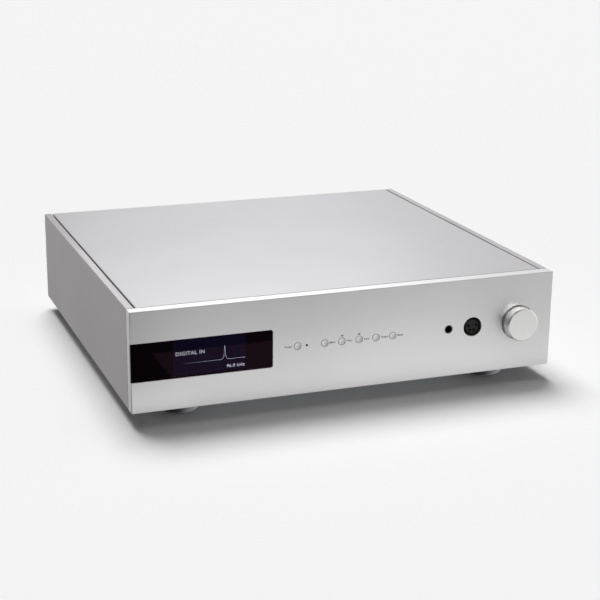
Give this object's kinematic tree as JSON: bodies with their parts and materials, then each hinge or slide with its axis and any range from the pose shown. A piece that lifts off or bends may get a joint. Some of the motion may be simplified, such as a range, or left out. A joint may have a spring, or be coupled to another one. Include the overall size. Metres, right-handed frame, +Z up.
{
  "type": "desktop dac",
  "caption": "Full-width metal case with a dark window, push buttons, headphone sockets and a round volume knob on the front panel, on round feet.",
  "frame": {"origin": "on the ground, under the middle of the object's bounding box", "axes": "+X to the right for someone facing the front panel, +Y from the front to the back, +Z up"},
  "size_m": [0.444, 0.43, 0.115],
  "materials": {
    "bead_blasted_panel": "bead blasted, clear anodised",
    "brushed_side": "brushed, clear anodised",
    "bead_blasted_cover": "bead blasted, clear anodised",
    "turned_knob": "turned, clear anodised",
    "turned_foot": "turned, clear anodised",
    "rear_sheet": "satin, clear anodised",
    "plated_sheet": "zinc plated",
    "steel_screws": "plated steel",
    "black_screws": "black oxide",
    "nickel": "nickel plated",
    "nickel_shell": "nickel plated die casting",
    "tin_shell": "tin plated",
    "gold_contacts": "gold plated",
    "gold_barrel": "gold plated",
    "rubber": "matte",
    "smoked_acrylic": "polished smoked acrylic",
    "display_glass": "display module",
    "dark_lens": "dark lens",
    "circuit_board": "solder resist",
    "black_plastic": "moulded",
    "white_insulator": "turned insulator",
    "fuse_glass": "glass tube fuse",
    "capacitor_sleeve": "shrink sleeve",
    "winding_tape": "polyester tape"
  },
  "bodies": {
    "chassis": {"front_panel": "bead_blasted_panel", "left_side_panel": "brushed_side", "right_side_panel": "brushed_side", "top_cover": "bead_blasted_cover", "base_plate": "plated_sheet", "rear_panel": "rear_sheet", "corner_brackets": "plated_sheet", "case_screws": "steel_screws", "connector_screws": "black_screws", "feet": "turned_foot", "foot_pads": "rubber", "foot_screws": "steel_screws", "display_window": "smoked_acrylic", "display_panel": "display_glass", "display_board": "circuit_board", "button_board": "circuit_board", "tact_switches": "black_plastic", "receiver_window": "dark_lens", "jack_socket": "black_plastic", "headphone_socket": "black_plastic", "encoder_body": "black_plastic", "encoder_nut": "nickel", "balanced_output_left": "nickel_shell", "balanced_output_right": "nickel_shell", "balanced_output_pins": "gold_contacts", "balanced_input": "nickel_shell", "socket_contacts": "gold_contacts", "phono_output_left": "gold_barrel", "phono_output_right": "gold_barrel", "phono_digital_input": "gold_barrel", "clock_socket": "nickel", "socket_insulators": "white_insulator", "optical_input": "black_plastic", "usb_socket": "tin_shell", "network_socket": "tin_shell", "mains_inlet": "black_plastic", "mains_blades": "nickel", "converter_board": "circuit_board", "digital_board": "circuit_board", "power_board": "circuit_board", "board_standoffs": "nickel", "board_components": "black_plastic", "smoothing_capacitors": "capacitor_sleeve", "transformer": "winding_tape", "transformer_bolt": "steel_screws", "screening_wall": "plated_sheet"},
    "power_button": {"power_button": "turned_knob"},
    "menu_button": {"menu_button": "turned_knob"},
    "filter_button": {"filter_button": "turned_knob"},
    "input_button": {"input_button": "turned_knob"},
    "output_button": {"output_button": "turned_knob"},
    "mute_button": {"mute_button": "turned_knob"},
    "knob": {"volume_knob": "turned_knob", "knob_grub_screw": "steel_screws", "encoder_shaft": "steel_screws"},
    "release_latch": {"balanced_input_latch": "nickel"},
    "shutter": {"optical_shutter": "black_plastic"},
    "drawer": {"fuse_drawer": "black_plastic", "fuse": "fuse_glass"},
    "rocker": {"mains_rocker": "black_plastic"}
  },
  "joints": [
    {"name": "power_press", "type": "slide", "parent": "chassis", "child": "power_button", "axis": [0, 1, 0], "range_m": [0, 0.0005], "stiffness_N_per_m": 1500},
    {"name": "menu_press", "type": "slide", "parent": "chassis", "child": "menu_button", "axis": [0, 1, 0], "range_m": [0, 0.0005], "stiffness_N_per_m": 1500},
    {"name": "filter_press", "type": "slide", "parent": "chassis", "child": "filter_button", "axis": [0, 1, 0], "range_m": [0, 0.0005], "stiffness_N_per_m": 1500},
    {"name": "input_press", "type": "slide", "parent": "chassis", "child": "input_button", "axis": [0, 1, 0], "range_m": [0, 0.0005], "stiffness_N_per_m": 1500},
    {"name": "output_press", "type": "slide", "parent": "chassis", "child": "output_button", "axis": [0, 1, 0], "range_m": [0, 0.0005], "stiffness_N_per_m": 1500},
    {"name": "mute_press", "type": "slide", "parent": "chassis", "child": "mute_button", "axis": [0, 1, 0], "range_m": [0, 0.0005], "stiffness_N_per_m": 1500},
    {"name": "volume_turn", "type": "hinge", "parent": "chassis", "child": "knob", "pos_m": [0.1836, -0.205, 0.0647], "axis": [0, 1, 0], "continuous": true},
    {"name": "latch_press", "type": "slide", "parent": "chassis", "child": "release_latch", "axis": [0, -1, 0], "range_m": [0, 0.0012], "stiffness_N_per_m": 1500},
    {"name": "shutter_swing", "type": "hinge", "parent": "chassis", "child": "shutter", "pos_m": [-0.032, 0.203, 0.0476], "axis": [-1, 0, 0], "range_deg": [0, 80], "stiffness_Nm_per_rad": 0.0005},
    {"name": "fuse_drawer_pull", "type": "slide", "parent": "chassis", "child": "drawer", "axis": [0, 1, 0], "range_m": [0, 0.018]},
    {"name": "mains_rocker_tilt", "type": "hinge", "parent": "chassis", "child": "rocker", "pos_m": [0.16, 0.203, 0.07735], "axis": [-1, 0, 0], "range_deg": [0, 20]}
  ]
}
